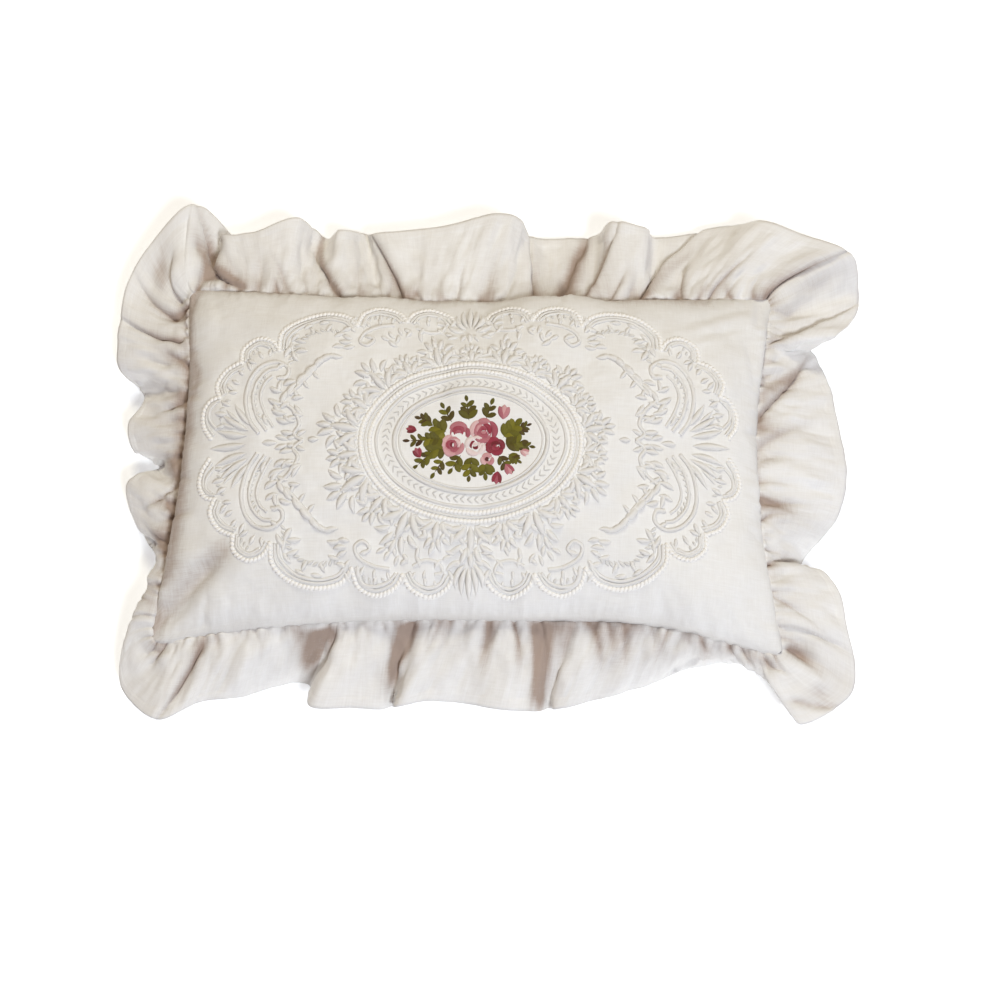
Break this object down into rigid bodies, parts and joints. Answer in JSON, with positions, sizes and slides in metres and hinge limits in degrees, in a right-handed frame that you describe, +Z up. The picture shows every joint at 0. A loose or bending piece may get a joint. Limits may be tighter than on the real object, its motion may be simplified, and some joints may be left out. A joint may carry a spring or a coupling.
{
  "type": "cushion cover",
  "caption": "Filled oblong cushion cover with a gathered ruffle all round and an embroidered face, for resting on a seat or bed.",
  "frame": {"origin": "middle of the flat patch that the cushion rests on", "axes": "+Z up out of the surface, through the crown of the face; +X along the cushion's length, to the right as one looks down at the face; +Y towards its top edge"},
  "size_m": [0.6197, 0.438, 0.1051],
  "materials": {
    "panel_cotton": "cream woven cotton, matt, with raised cream cord embroidery and a small rose bouquet in coloured thread",
    "ruffle_cotton": "cream woven cotton, matt, gathered, with a narrow stitched hem"
  },
  "bodies": {
    "root": {"cushion": "panel_cotton", "ruffle": "ruffle_cotton"}
  },
  "joints": []
}
